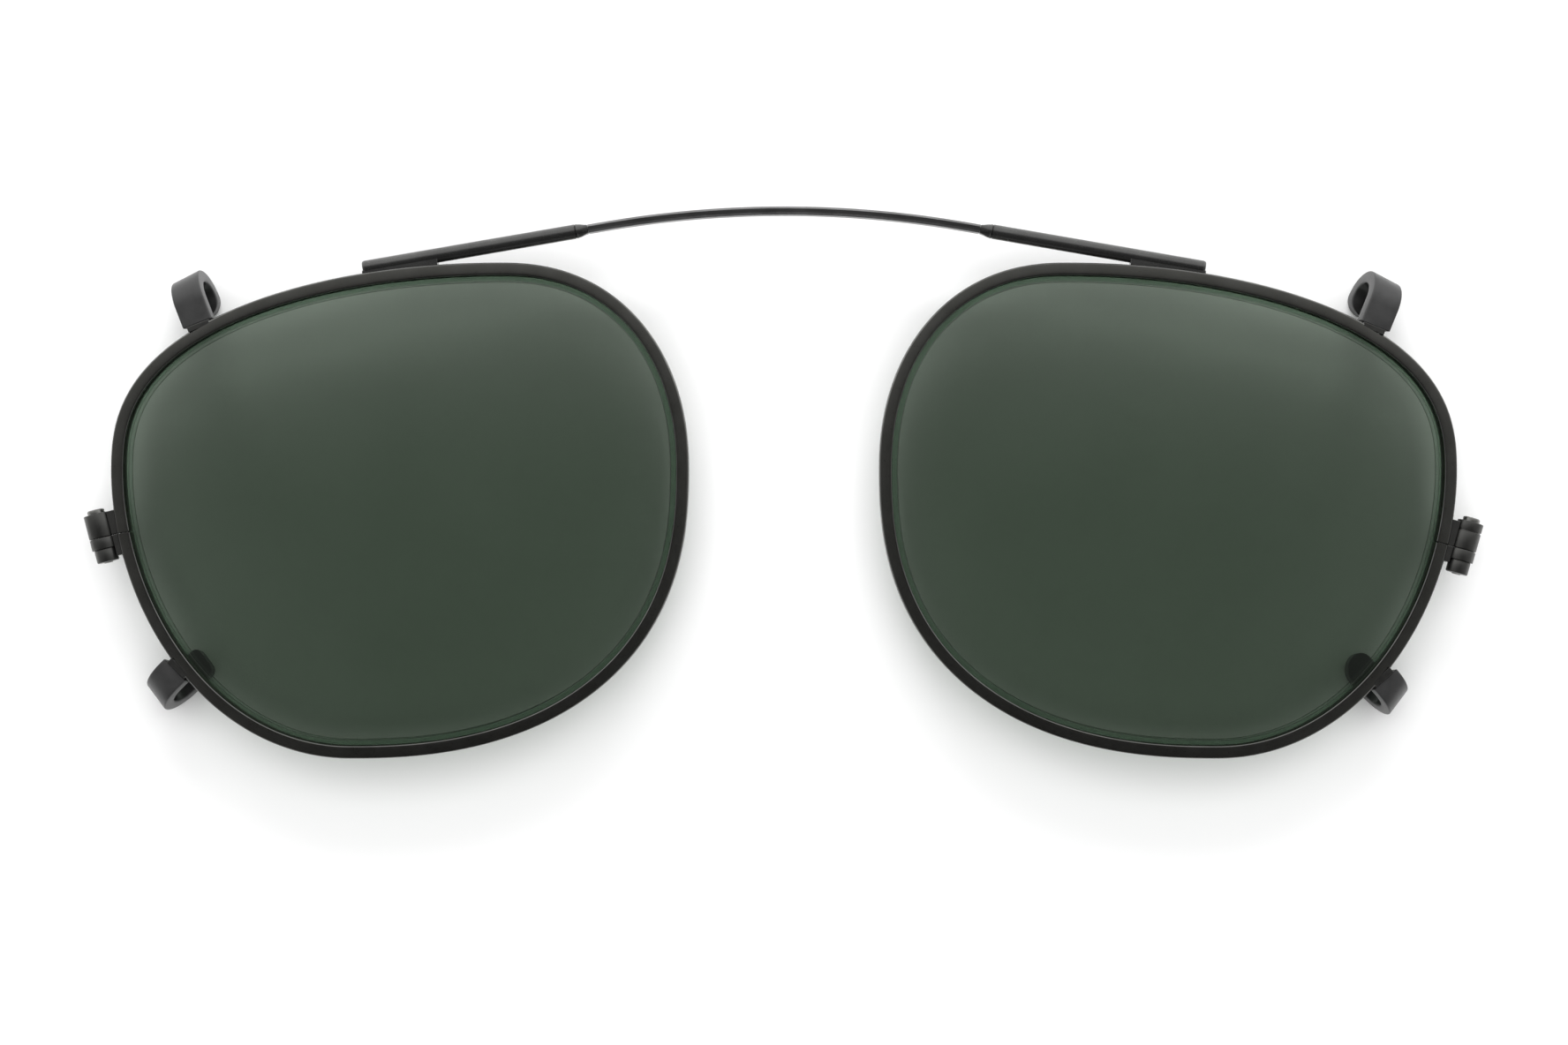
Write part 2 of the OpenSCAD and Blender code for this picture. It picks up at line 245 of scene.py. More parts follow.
def hook_place(row, side):
    """Local x runs outwards from the eyewire's edge, and z = 0 is the front leg's middle."""
    q, place, angle = HOOKS[row, side][:3]
    p = quarter_point(q, place)
    return (eye_place(side) @ Matrix.Translation((p.x, p.y, HOOK_Z))
            @ Matrix.Rotation(math.radians(angle), 4, "Z"))


def block_place(side):
    """Local y runs up the closing barrel, from the split in the eyewire."""
    p = quarter_point(TEMPLE_DOWN, BLOCK_PLACE[side])
    return (eye_place(side) @ Matrix.Translation((p.x, p.y, wire_z(p)))
            @ Matrix.Rotation(math.radians(-BLOCK_LEAN[side]), 4, "Z"))


BARREL_AXIS = Matrix.Translation((BARREL_OUT, 0, 0)) @ Matrix.Rotation(math.radians(90), 4, "Z")


# ---- mesh building ----
# Distances in metres below which points and edges are one
MERGE, DEGENERATE = 2e-7, 1e-7
# A radius in millimetres, a hair off the axis, where a lathed profile closes
AXIS = 0.0005


def build(name, verts, faces, place, materials, slots=None, sharp=32):
    """A mesh object from local millimetre points. slots gives each face's material index."""
    mesh = bpy.data.meshes.new(name)
    mesh.from_pydata([place @ Vector(v) for v in verts], [], faces)
    for m in materials:
        mesh.materials.append(m)
    if slots:
        mesh.polygons.foreach_set("material_index", slots)
    bm = bmesh.new()
    bm.from_mesh(mesh)
    bmesh.ops.remove_doubles(bm, verts=bm.verts, dist=MERGE)
    bmesh.ops.dissolve_degenerate(bm, dist=DEGENERATE, edges=bm.edges)
    bmesh.ops.recalc_face_normals(bm, faces=bm.faces)
    bm.to_mesh(mesh)
    bm.free()
    mesh.shade_smooth()
    mesh.set_sharp_from_angle(angle=math.radians(sharp))
    obj = bpy.data.objects.new(name, mesh)
    bpy.context.scene.collection.objects.link(obj)
    return obj


def loft(rings, closed_path=False, caps=True, ring_slots=None):
    """Vertices, faces and face slots of a skin over rings with the same number of points."""
    n = len(rings[0])
    verts = [p for ring in rings for p in ring]
    faces, slots = [], []
    last = len(rings) if closed_path else len(rings) - 1
    for i in range(last):
        a, b = i * n, ((i + 1) % len(rings)) * n
        for k in range(n):
            m = (k + 1) % n
            faces.append((a + k, a + m, b + m, b + k))
            slots.append(ring_slots[i] if ring_slots else 0)
    if caps and not closed_path:
        faces.append(tuple(range(n)))
        faces.append(tuple(range(len(verts) - n, len(verts))))
        slots += [ring_slots[0] if ring_slots else 0, ring_slots[-1] if ring_slots else 0]
    return verts, faces, slots


def lathe_rings(profile, segments=64):
    """Rings round local x from (x, radius) pairs."""
    turns = [2 * math.pi * k / segments for k in range(segments)]
    return [[Vector((x, r * math.cos(t), r * math.sin(t))) for t in turns] for x, r in profile]


def lathe(name, profile, place, material, closed=False, sharp=32, segments=64):
    verts, faces, _ = loft(lathe_rings(profile, segments), closed_path=closed)
    return build(name, verts, faces, place, [material], sharp=sharp)


def arc(centre, radius, start, end, steps):
    """Points on an arc, with angles in degrees."""
    return [(centre[0] + radius * math.cos(math.radians(start + (end - start) * i / steps)),
             centre[1] + radius * math.sin(math.radians(start + (end - start) * i / steps)))
            for i in range(steps + 1)]


def apply_modifier(obj, name):
    bpy.context.view_layer.objects.active = obj
    obj.select_set(True)
    bpy.ops.object.modifier_apply(modifier=name)


def join(name, parts):
    bpy.ops.object.select_all(action="DESELECT")
    for p in parts:
        p.select_set(True)
    bpy.context.view_layer.objects.active = parts[0]
    bpy.ops.object.join()
    parts[0].name = name
    parts[0].data.name = name
    return parts[0]


def settle(obj, body, node):
    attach(obj, body)
    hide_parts(node)


HALF = {LEFT: "left_half", RIGHT: "right_half"}


# ---- materials ----
def principled(name, colour, metallic, roughness, **values):
    material = bpy.data.materials.new(name)
    material.use_nodes = True
    shader = material.node_tree.nodes["Principled BSDF"]
    shader.inputs["Base Color"].default_value = (*colour, 1)
    shader.inputs["Metallic"].default_value = metallic
    shader.inputs["Roughness"].default_value = roughness
    for key, value in values.items():
        shader.inputs[key.replace("_", " ")].default_value = value
    return material


def coordinates(material, scale):
    """Object coordinates in millimetres, stretched by scale."""
    nodes, links = material.node_tree.nodes, material.node_tree.links
    place = nodes.new("ShaderNodeTexCoord")
    mapping = nodes.new("ShaderNodeMapping")
    mapping.inputs["Scale"].default_value = [1 / MM * s for s in scale]
    links.new(place.outputs["Object"], mapping.inputs["Vector"])
    return mapping.outputs["Vector"]


def noise(material, vector, scale, detail=4, rough=0.6):
    node = material.node_tree.nodes.new("ShaderNodeTexNoise")
    node.inputs["Scale"].default_value = scale
    node.inputs["Detail"].default_value = detail
    node.inputs["Roughness"].default_value = rough
    material.node_tree.links.new(vector, node.inputs["Vector"])
    return node.outputs["Fac"]


def spread(material, value, low, high, from_low=0.3, from_high=0.7):
    node = material.node_tree.nodes.new("ShaderNodeMapRange")
    node.inputs["From Min"].default_value = from_low
    node.inputs["From Max"].default_value = from_high
    node.inputs["To Min"].default_value = low
    node.inputs["To Max"].default_value = high
    material.node_tree.links.new(value, node.inputs["Value"])
    return node.outputs["Result"]


def blend_colour(material, factor, first, second):
    node = material.node_tree.nodes.new("ShaderNodeMix")
    node.data_type = "RGBA"
    node.inputs["A"].default_value = (*first, 1)
    node.inputs["B"].default_value = (*second, 1)
    material.node_tree.links.new(factor, node.inputs["Factor"])
    return node.outputs["Result"]


def feed(material, socket, value):
    shader = material.node_tree.nodes["Principled BSDF"]
    material.node_tree.links.new(value, shader.inputs[socket])


def bump(material, height, distance, strength=1.0):
    node = material.node_tree.nodes.new("ShaderNodeBump")
    node.inputs["Distance"].default_value = distance * MM
    node.inputs["Strength"].default_value = strength
    material.node_tree.links.new(height, node.inputs["Height"])
    feed(material, "Normal", node.outputs["Normal"])


def worn_metal(name, colour, worn, metallic, rough, grain=(1, 1, 1), fine=3.0, relief=0.004, **values):
    """Plated metal: cloudy tone and roughness, fine polishing marks and slightly paler patches."""
    m = principled(name, colour, metallic, sum(rough) / 2, **values)
    place = coordinates(m, (1, 1, 1))
    marks = noise(m, coordinates(m, grain), fine, 8, 0.65)
    cloud = noise(m, place, 0.35, 3, 0.5)
    feed(m, "Base Color", blend_colour(m, spread(m, cloud, 0, 1, 0.35, 0.75), colour, worn))
    feed(m, "Roughness", spread(m, marks, *rough))
    bump(m, marks, relief)
    return m


GUNMETAL = worn_metal("gunmetal", (0.085, 0.085, 0.078), (0.105, 0.105, 0.098), 0.95, (0.26, 0.38))
# Paler, glossier metal for the eyewire's rounded front edges: a painted highlight, so that their edge lines
# shine brighter
EDGE_HIGHLIGHT_METAL = worn_metal("eyewire_edge_painted_highlight", (0.16, 0.16, 0.155), (0.22, 0.22, 0.21), 1.0, (0.16, 0.26))
TUBE_METAL = worn_metal("tube_gunmetal", (0.115, 0.115, 0.113), (0.145, 0.145, 0.142), 0.92, (0.2, 0.3),
                        grain=(0.25, 2, 2))
BLOCK_METAL = worn_metal("block_gunmetal", (0.08, 0.08, 0.077), (0.105, 0.105, 0.1), 0.9, (0.28, 0.4))
HOOK_METAL = worn_metal("hook_strip", (0.08, 0.08, 0.076), (0.14, 0.14, 0.135), 0.95, (0.28, 0.42))
BOW_METAL = worn_metal("drawn_wire", (0.2, 0.2, 0.2), (0.27, 0.27, 0.27), 1.0, (0.12, 0.22),
                       grain=(0.12, 3, 3), fine=5, relief=0.006, Specular_Tint=(0.5, 0.5, 0.5, 1))
SCREW_METAL = worn_metal("turned_steel", (0.2, 0.2, 0.19), (0.3, 0.3, 0.29), 1.0, (0.25, 0.38))
SPRING_METAL = worn_metal("spring_wire", (0.6, 0.6, 0.6), (0.7, 0.7, 0.7), 1.0, (0.15, 0.25))


def sleeve_material(name, dark, light):
    """Slightly uneven moulded plastic with a soft sheen."""
    m = principled(name, dark, 0.0, 0.4, Coat_Weight=0.2, Coat_Roughness=0.25)
    place = coordinates(m, (1, 1, 1))
    cloud = noise(m, place, 0.5, 4, 0.55)
    fine = noise(m, place, 9, 6, 0.6)
    feed(m, "Base Color", blend_colour(m, spread(m, cloud, 0, 1), dark, light))
    feed(m, "Roughness", spread(m, fine, 0.3, 0.45))
    bump(m, cloud, 0.05, 0.6)
    return m


SLEEVE_PLASTIC = sleeve_material("sleeve_plastic", (0.02, 0.02, 0.02), (0.033, 0.033, 0.033))
# Darker plastic for the inside of each sleeve's bend: painted shade, where little light reaches
SLEEVE_PAINTED_SHADE = sleeve_material("sleeve_bend_painted_shade", (0.01, 0.01, 0.01), (0.015, 0.015, 0.015))

LENS_PASS = (0.426, 0.465, 0.425)
LENS_INDEX = 1.6


def lens_material(name, tint, rough, haze):
    """Tinted lens: both surfaces pass the tint with a faint haze, and the outside mirrors by angle."""
    m = bpy.data.materials.new(name)
    m.use_nodes = True
    nodes, links = m.node_tree.nodes, m.node_tree.links
    nodes.clear()
    out = nodes.new("ShaderNodeOutputMaterial")
    clear = nodes.new("ShaderNodeBsdfTransparent")
    clear.inputs["Color"].default_value = (*tint, 1)
    dull = nodes.new("ShaderNodeBsdfDiffuse")
    dull.inputs["Color"].default_value = (0.35, 0.42, 0.35, 1)
    gloss = nodes.new("ShaderNodeBsdfGlossy")
    gloss.inputs["Color"].default_value = (0.95, 1.0, 0.95, 1)
    gloss.inputs["Roughness"].default_value = rough
    # A ray that leaves the lens isn't bent, so it must not be turned back: inside, the index is 1
    geometry = nodes.new("ShaderNodeNewGeometry")
    fresnel = nodes.new("ShaderNodeFresnel")
    links.new(spread(m, geometry.outputs["Backfacing"], LENS_INDEX, 1.0, 0, 1), fresnel.inputs["IOR"])
    smear = noise(m, coordinates(m, (1, 1, 1)), 0.09, 5, 0.5)
    amount = spread(m, smear, haze * 0.5, haze * 1.5, 0.35, 0.75)
    body = nodes.new("ShaderNodeMixShader")
    top = nodes.new("ShaderNodeMixShader")
    for mix, factor, first, second in ((body, amount, clear, dull), (top, fresnel.outputs[0], body, gloss)):
        for socket, value in zip(mix.inputs, (factor, first.outputs[0], second.outputs[0])):
            links.new(value, socket)
    links.new(top.outputs[0], out.inputs["Surface"])
    return m


LENS_FACE = lens_material("lens_tint", LENS_PASS, 0.03, 0.01)
# The bevel and the thin strips at its edges have darker tints than the lens body: painted shade at the lens
# edge
LENS_BEVEL_SHADE = lens_material("lens_bevel_painted_shade", (0.3, 0.37, 0.31), 0.3, 0.03)
LENS_EDGE_LINE_SHADE = lens_material("lens_edge_line_painted_shade", (0.12, 0.15, 0.12), 0.3, 0.05)


# ---- eyewires ----
WIRE_ROUND = 0.14
WIRE_CROWN = 0.016
GROOVE_MOUTH, GROOVE_FLOOR = 0.35, 0.03


def wire_corner(x, y, start):
    """A rounded edge of the eyewire's section: a quarter turn from start degrees, round (x, y)."""
    turns = [math.radians(start + a) for a in (0, 25, 50, 75, 90)]
    return [(x + WIRE_ROUND * math.cos(t), y + WIRE_ROUND * math.sin(t)) for t in turns]


def wire_section():
    """The eyewire's section: (distance in from the outer edge, depth below the front)."""
    w, h, r = WIRE_W, WIRE_DEPTH, WIRE_ROUND
    front = [(w * 0.3, -0.75 * WIRE_CROWN), (w * 0.5, -WIRE_CROWN), (w * 0.7, -0.75 * WIRE_CROWN)]
    groove = [(w, h / 2 - GROOVE_MOUTH), (w - GROOVE_D, h / 2 - GROOVE_FLOOR),
              (w - GROOVE_D, h / 2 + GROOVE_FLOOR), (w, h / 2 + GROOVE_MOUTH)]
    return (wire_corner(r, r, 180) + front + wire_corner(w - r, r, 270) + groove
            + wire_corner(w - r, h - r, 0) + wire_corner(r, h - r, 90))


# The strips of the section that round its two front edges, which get the painted highlight
EDGE_STRIPS = (0, 1, 2, 3, 8, 9, 10, 11)
# Half the width of a foot's notch: a little less than the foot, so that no light shows beside it
NOTCH_HALF = BLADE_W / 2 - 0.06
# Arc length over which a notch's end wall rises
NOTCH_WALL = 1e-5


def notches(side):
    """Arc lengths where the notches for this side's hook feet start and end, and their depth."""
    found = []
    for row in (UPPER, LOWER):
        q, place = HOOKS[row, side][:2]
        s = OUTLINE.nearest(quarter_point(q, place))
        for lap in (0, OUTLINE.length):
            found.append((s + lap - NOTCH_HALF, s + lap + NOTCH_HALF, FOOT_IN[row]))
    return found


def make_rim(side):
    """A sweep of the wire's section round the eye, from one side of the split to the other."""
    split = OUTLINE.nearest(quarter_point(TEMPLE_DOWN, BLOCK_PLACE[side]))
    start, end = split + SPLIT_GAP / 2, split - SPLIT_GAP / 2 + OUTLINE.length
    # Each station: arc length, how far the section shrinks at the cut ends, and a notch's depth
    soften, steps = 0.05, 460
    stations = [(start, soften)] + [(start + soften + (end - start - 2 * soften) * i / steps, 0.0)
                                    for i in range(steps + 1)] + [(end, soften)]
    cuts = notches(side)
    stations = [(s, shrink, max([depth for low, high, depth in cuts if low < s < high], default=0.0))
                for s, shrink in stations]
    for low, high, depth in cuts:
        for s, first, second in ((low, 0.0, depth), (high, depth, 0.0)):
            if start < s < end:
                stations += [(s - NOTCH_WALL, 0.0, first), (s + NOTCH_WALL, 0.0, second)]
    stations.sort(key=lambda x: x[0])
    rings = []
    for s, shrink, cut in stations:
        ring = []
        for d, depth in wire_section():
            d = WIRE_W / 2 + (d - WIRE_W / 2) * (1 - shrink)
            depth = WIRE_DEPTH / 2 + (depth - WIRE_DEPTH / 2) * (1 - shrink)
            ring.append(on_dome(OUTLINE.inset(s, max(d, cut)), depth))
        rings.append(ring)
    verts, faces, _ = loft(rings)
    around = len(rings[0])
    # The rounded front edges take the painted highlight metal
    plain, highlight_slot = 0, 1
    slots = [highlight_slot if f % around in EDGE_STRIPS else plain
             for f in range(len(faces) - 2)] + [plain, plain]
    obj = build(f"rim_{side}_sweep", verts, faces, eye_place(side), [GUNMETAL, EDGE_HIGHLIGHT_METAL],
                slots=slots, sharp=30)
    settle(obj, HALF[side], f"rim_{side}")


# ---- lenses ----
# Distance in from the eyewire's outer edge where the faces end, and depths of both faces
LENS_FACE_IN = 1.78
LENS_FRONT, LENS_BACK = 0.24, WIRE_DEPTH - 0.06


def make_lens(side):
    """Two domed faces, joined by a bevel that comes to a ridge in the eyewire's groove."""
    n = 420
    stations = [OUTLINE.length * i / n for i in range(n)]
    front, back = LENS_FRONT, LENS_BACK
    rim_rings = ((LENS_FACE_IN, front), (LENS_FACE_IN - 0.07, front + 0.04), (1.34, front + 0.26),
                 (0.88, WIRE_DEPTH / 2), (1.3, back - 0.3), (LENS_FACE_IN - 0.07, back - 0.04),
                 (LENS_FACE_IN, back))
    circles = 26
    inner = [OUTLINE.inset(s, LENS_FACE_IN) for s in stations]
    rings = [[on_dome(p * (i / circles), front) for p in inner] for i in range(circles)]
    rings += [[on_dome(OUTLINE.inset(s, d), depth) for s in stations] for d, depth in rim_rings]
    rings += [[on_dome(p * (i / circles), back) for p in inner] for i in range(circles - 1, -1, -1)]
    # The bevel and the thin strips at its edges take the painted shade tints
    face_slot, bevel_slot, edge_shade_slot = 0, 1, 2
    slots = [face_slot] * circles
    slots += [edge_shade_slot, bevel_slot, bevel_slot, bevel_slot, bevel_slot, edge_shade_slot]
    slots += [face_slot] * (circles + 1)
    verts, faces, face_slots = loft(rings, caps=False, ring_slots=slots)
    obj = build(f"lens_{side}_ground", verts, faces, eye_place(side), [LENS_FACE, LENS_BEVEL_SHADE, LENS_EDGE_LINE_SHADE],
                slots=face_slots, sharp=12)
    settle(obj, HALF[side], f"lens_{side}")


# ---- strips and wires ----
# Steps in each corner of a ring across the bow or a tube part, so that all its rings match
CORNER_STEPS = 11


def strip_section(half_w, half_t, r, steps=4):
    """Rounded rectangle in (across, through)."""
    r = min(r, half_w, half_t)
    points = []
    for cx, cy, a in ((half_w - r, half_t - r, 0), (-half_w + r, half_t - r, 90),
                      (-half_w + r, -half_t + r, 180), (half_w - r, -half_t + r, 270)):
        points += arc((cx, cy), r, a, a + 90, steps)
    return points


def chamfered_section(half_w, half_t, c, steps):
    """Rectangle with flat chamfers, with as many points as a rounded one."""
    w, t = half_w, half_t
    corners = (((w, t - c), (w - c, t)), ((-w + c, t), (-w, t - c)),
               ((-w, -t + c), (-w + c, -t)), ((w - c, -t), (w, -t + c)))
    return [tuple(Vector(a).lerp(Vector(b), i / steps)) for a, b in corners for i in range(steps + 1)]


def straight_ring(x, half_w, half_t, r, steps=CORNER_STEPS, section=strip_section):
    """A ring across local x. Equal halves and radius make it a circle."""
    return [Vector((x, across, through)) for across, through in section(half_w, half_t, r, steps)]


# ---- bridge ----
def make_bow():
    """Chamfered rectangular wire, bent to an arc, with a thin rod at each end."""
    half_w, half_t = BOW_W / 2, BOW_DEPTH / 2
    edge, hold, tip = 0.05, 0.09, 0.1
    ends = []
    for side in (RIGHT, LEFT):
        place = tube_place(side)
        wire = [straight_ring(x, half_w - drop, half_t - drop, BOW_CHAMFER - drop / 2,
                              section=chamfered_section)
                for x, drop in ((BOW_END_START, 0), (WIRE_END - hold, 0), (WIRE_END - edge, 0),
                                (WIRE_END, edge))]
        rod = [straight_ring(x, r, r, r) for x, r in
               ((WIRE_END, ROD_D / 2), (STOP_END - tip, ROD_D / 2), (STOP_END, ROD_D / 2 - tip))]
        ends.append([[place @ p for p in ring] for ring in wire + rod])
    steps = 110
    section = chamfered_section(half_w, half_t, BOW_CHAMFER, CORNER_STEPS)
    centre = Vector((0, BOW_TOP - BOW_RADIUS, TUBE_Z))
    middle = []
    for i in range(steps + 1):
        a = TUBE_TILT * (1 - 2 * i / steps)
        out = Vector((math.sin(a), math.cos(a), 0))
        middle.append([(centre + out * (BOW_RADIUS + across) + Vector((0, 0, through))) * MM
                       for across, through in section])
    verts, faces, _ = loft(list(reversed(ends[0])) + middle + ends[1])
    obj = build("bridge_bow_wire", verts, faces, Matrix.Identity(4), [BOW_METAL], sharp=40)
    settle(obj, "bridge", "bridge_bow")


def tube_profile():
    """Half section of the spring tube, with its nose end rolled in a little."""
    r, b = TUBE_D / 2, TUBE_BORE / 2
    lip, lip_back, end_lip = 0.06, 0.01, 0.012
    return [(TUBE_START + lip, r), (TUBE_END - end_lip, r), (TUBE_END, r - end_lip), (TUBE_END, b),
            (TUBE_START, b), (TUBE_START + lip_back, r - lip)]


def make_collar(side, place):
    """The crimped nose end: flattened on the wire's side and round where it meets the tube."""
    r, bore, stem = COLLAR_D / 2, ROD_D / 2 + RUNNING_GAP, TUBE_BORE / 2 - FIT_GAP
    bead = r + 0.035
    flange = CONE_START + CONE_LEN
    # Half width, half depth and corner radius of the crimped nose, at its end and just behind it
    nose_end, nose = (0.4, 0.6, 0.25), (0.43, 0.62, 0.28)
    rings = [straight_ring(CONE_START, bore, bore, bore), straight_ring(CONE_START, *nose_end)]
    for t in (0.06, 0.2, 0.4, 0.6, 0.8, 1.0):
        ease = t * t * (3 - 2 * t)
        rings.append(straight_ring(CONE_START + CONE_LEN * t, *(v + (r - v) * ease for v in nose)))
    for x, radius in ((flange + 0.03, bead), (TUBE_START - 0.05, bead), (TUBE_START - 0.01, r - 0.02),
                      (TUBE_START, stem), (TUBE_START + COLLAR_REACH, stem),
                      (TUBE_START + COLLAR_REACH, bore)):
        rings.append(straight_ring(x, radius, radius, radius))
    verts, faces, _ = loft(rings, closed_path=True)
    return build(f"nose_collar_{side}_crimped", verts, faces, place, [TUBE_METAL], sharp=40)


def make_tube_parts(side):
    """The tube, its nose collar and end plug, and the stop ring on the rod inside it."""
    place = tube_place(side)
    body = HALF[side]
    tube = lathe(f"tube_{side}_drawn", tube_profile(), place, TUBE_METAL, closed=True)
    settle(tube, body, f"tube_{side}")
    settle(make_collar(side, place), body, f"nose_collar_{side}")

    stem, stem_end, chamfer = TUBE_BORE / 2 - FIT_GAP, TUBE_END - 1, 0.05
    cap, cap_h, cap_round = TUBE_D / 2, 0.3, 0.16
    turns = [math.radians(a) for a in (20, 40, 60, 80)]
    profile = [(stem_end, AXIS), (stem_end, stem - chamfer), (stem_end + chamfer, stem),
               (TUBE_END, stem), (TUBE_END, cap)]
    profile += [(TUBE_END + cap_h * math.sin(t), cap - cap_round * (1 - math.cos(t))) for t in turns]
    profile += [(TUBE_END + cap_h, cap - cap_round), (TUBE_END + cap_h, AXIS)]
    plug = lathe(f"end_plug_{side}_cap", profile, place, TUBE_METAL)
    settle(plug, body, f"end_plug_{side}")

    r, b, chamfer = TUBE_BORE / 2 - RUNNING_GAP, ROD_D / 2, 0.08
    profile = [(STOP_START + chamfer, r), (STOP_END - chamfer, r), (STOP_END, r - chamfer), (STOP_END, b),
               (STOP_START, b), (STOP_START, r - chamfer)]
    stop = lathe(f"rod_stop_{side}_ring", profile, place, SCREW_METAL, closed=True)
    settle(stop, "bridge", f"rod_stop_{side}")


SPRING_WIRE = 0.12
SPRING_TURNS = 28
SPRING_STEPS, SPRING_AROUND = 18, 8
SPRING_R = (ROD_D + TUBE_BORE) / 4


def make_spring(side):
    """A coil round the rod, from the collar's stem to the stop, built at its rest length; the real one
    squashes as its half slides out.
    """
    start = TUBE_START + COLLAR_REACH + SPRING_WIRE
    end = STOP_START - SPRING_WIRE
    steps = SPRING_TURNS * SPRING_STEPS
    section = [2 * math.pi * k / SPRING_AROUND for k in range(SPRING_AROUND)]
    rings = []
    for i in range(steps + 1):
        a = 2 * math.pi * SPRING_TURNS * i / steps
        out = Vector((0, math.cos(a), math.sin(a)))
        x = Vector((start + (end - start) * i / steps, 0, 0))
        rings.append([x + out * (SPRING_R + SPRING_WIRE / 2 * math.cos(t))
                      + Vector((SPRING_WIRE / 2 * math.sin(t), 0, 0)) for t in section])
    verts, faces, _ = loft(rings)
    place = tube_place(side)
    obj = build(f"spring_{side}_coil", verts, faces, place, [SPRING_METAL])
    settle(obj, "bridge", f"spring_{side}")
    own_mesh(obj)


def prism(name, outline, low, high, place, material, bevel):
    """An extruded outline with small bevels."""
    n = len(outline)
    verts = [Vector((x, y, low)) for x, y in outline] + [Vector((x, y, high)) for x, y in outline]
    faces = [(k, (k + 1) % n, n + (k + 1) % n, n + k) for k in range(n)]
    faces += [tuple(range(n)), tuple(range(n, 2 * n))]
    obj = build(name, verts, faces, place, [material])
    soften = obj.modifiers.new("edges", "BEVEL")
    soften.width = bevel * MM
    soften.segments = 3
    soften.limit_method = "ANGLE"
    soften.angle_limit = math.radians(40)
    return obj


def make_saddle(side):
    """Filler between the tube's lower flank and the crest of the eyewire."""
    low_x, high_x = -3.4, 3.7
    flank, half_depth, sink = 0.27, 0.6, 0.02
    steps = 16
    crest = OUTLINE.nearest(Vector((0, 22.7)))
    to_eye = eye_place(side).inverted() @ tube_place(side)
    lower = []
    for i in range(steps + 1):
        x = low_x + (high_x - low_x) * i / steps
        p = min((OUTLINE.point(crest + d * 0.1) for d in range(-60, 61)), key=lambda q: abs(q.x - x))
        lower.append((x, p.y - sink))
    a = to_eye @ Vector((0, 0, 0))
    b = to_eye @ Vector((TUBE_END, 0, 0))
    slope = (b.y - a.y) / (b.x - a.x)
    upper = [(x, a.y + slope * (x - a.x) - flank) for x in (high_x, low_x)]
    obj = prism(f"tube_saddle_{side}_filler", lower + upper, TUBE_Z - half_depth, TUBE_Z + half_depth,
                eye_place(side), TUBE_METAL, 0.06)
    settle(obj, HALF[side], f"tube_saddle_{side}")


# ---- hooks ----
def hook_path(bend_x, start, tip, steps=26):
    """(x, z, direction angle) along the hook's middle line: front leg, bend, back leg."""
    path = []
    if bend_x > start:
        count = max(2, int((bend_x - start) / 0.2))
        path += [(start + (bend_x - start) * i / count, 0.0, 0.0) for i in range(count)]
    for i in range(steps + 1):
        a = math.pi * i / steps
        x = bend_x + BEND_R * math.sin(a)
        if x >= start - 1e-6 or a > math.pi / 2:
            path.append((x, -BEND_R + BEND_R * math.cos(a), -a))
    path = [p for p in path if not (p[2] < -math.pi / 2 and p[0] < tip)]
    if bend_x > tip:
        count = max(8, int((bend_x - tip) / 0.15))
        path += [(bend_x + (tip - bend_x) * i / count, -2 * BEND_R, -math.pi) for i in range(1, count + 1)]
    return path


def strip_ring(station, half_w, half_t, r):
    """A ring of the strip's section across one station of a hook's path."""
    x, z, a = station
    normal = Vector((-math.sin(a), 0, math.cos(a)))
    centre = Vector((x, 0, z))
    return [centre + Vector((0, across, 0)) + normal * through
            for across, through in strip_section(half_w, half_t, r)]


def tip_width(station, w, tip, r):
    """Half width of a strip whose free end has round corners, as seen from the front."""
    x, _, a = station
    if a > -math.pi / 2 or x > tip + r:
        return w / 2
    return max(w / 2 - r + math.sqrt(max(r ** 2 - (tip + r - x) ** 2, 0)), 0.03)


def refine_tip(path, tip, r):
    """Extra stations near the free end, so that its corners stay round."""
    kept = [p for p in path if not (p[2] < -math.pi / 2 and p[0] < tip + r)]
    back = [p for p in path if p[2] < -math.pi / 2]
    steps = 16
    for i in range(steps + 1):
        x = tip + r * (1 - math.sin(math.pi / 2 * i / steps))
        near = min(back, key=lambda p: abs(p[0] - x))
        kept.append((x, near[1], near[2]))
    return kept


def make_askew(rings, row, side, start):
    """Sheared copies of rings, with the front leg cut off square at start."""
    skew, slope = ASKEW[row, side][:2]
    bent = []
    for ring in rings:
        bent.append([])
        for p in ring:
            x = p.x + skew * p.y
            if p.z > -BEND_R:
                x = max(x, start)
            bent[-1].append(Vector((x, p.y + slope * p.z, p.z)))
    return bent


def make_blade(row, side):
    """The metal strip, and its foot let into the eyewire."""
    reach, tip = HOOKS[row, side][3:]
    place = hook_place(row, side)
    blade_tip, r = tip + TIP_COVER, BLADE_W * ASKEW[row, side][2]
    path = refine_tip(hook_path(reach - BEND_R - SLEEVE_T / 2, 0.02, blade_tip), blade_tip, r)
    rings = [strip_ring(p, tip_width(p, BLADE_W, blade_tip, r), BLADE_T / 2, 0.08) for p in path]
    verts, faces, _ = loft(make_askew(rings, row, side, 0))
    blade = build("blade", verts, faces, place, [HOOK_METAL], sharp=40)
    half_w, half_t = BLADE_W / 2, WIRE_DEPTH / 2 - 0.1
    inner, outer = -FOOT_IN[row], FOOT_OUT
    foot = prism("foot", [(inner, -half_w), (outer, -half_w), (outer, half_w), (inner, half_w)],
                 -half_t, half_t, place, HOOK_METAL, 0.05)
    apply_modifier(foot, "edges")
    obj = join(f"hook_{row}_{side}_blade", [blade, foot])
    settle(obj, HALF[side], f"hook_{row}_{side}")


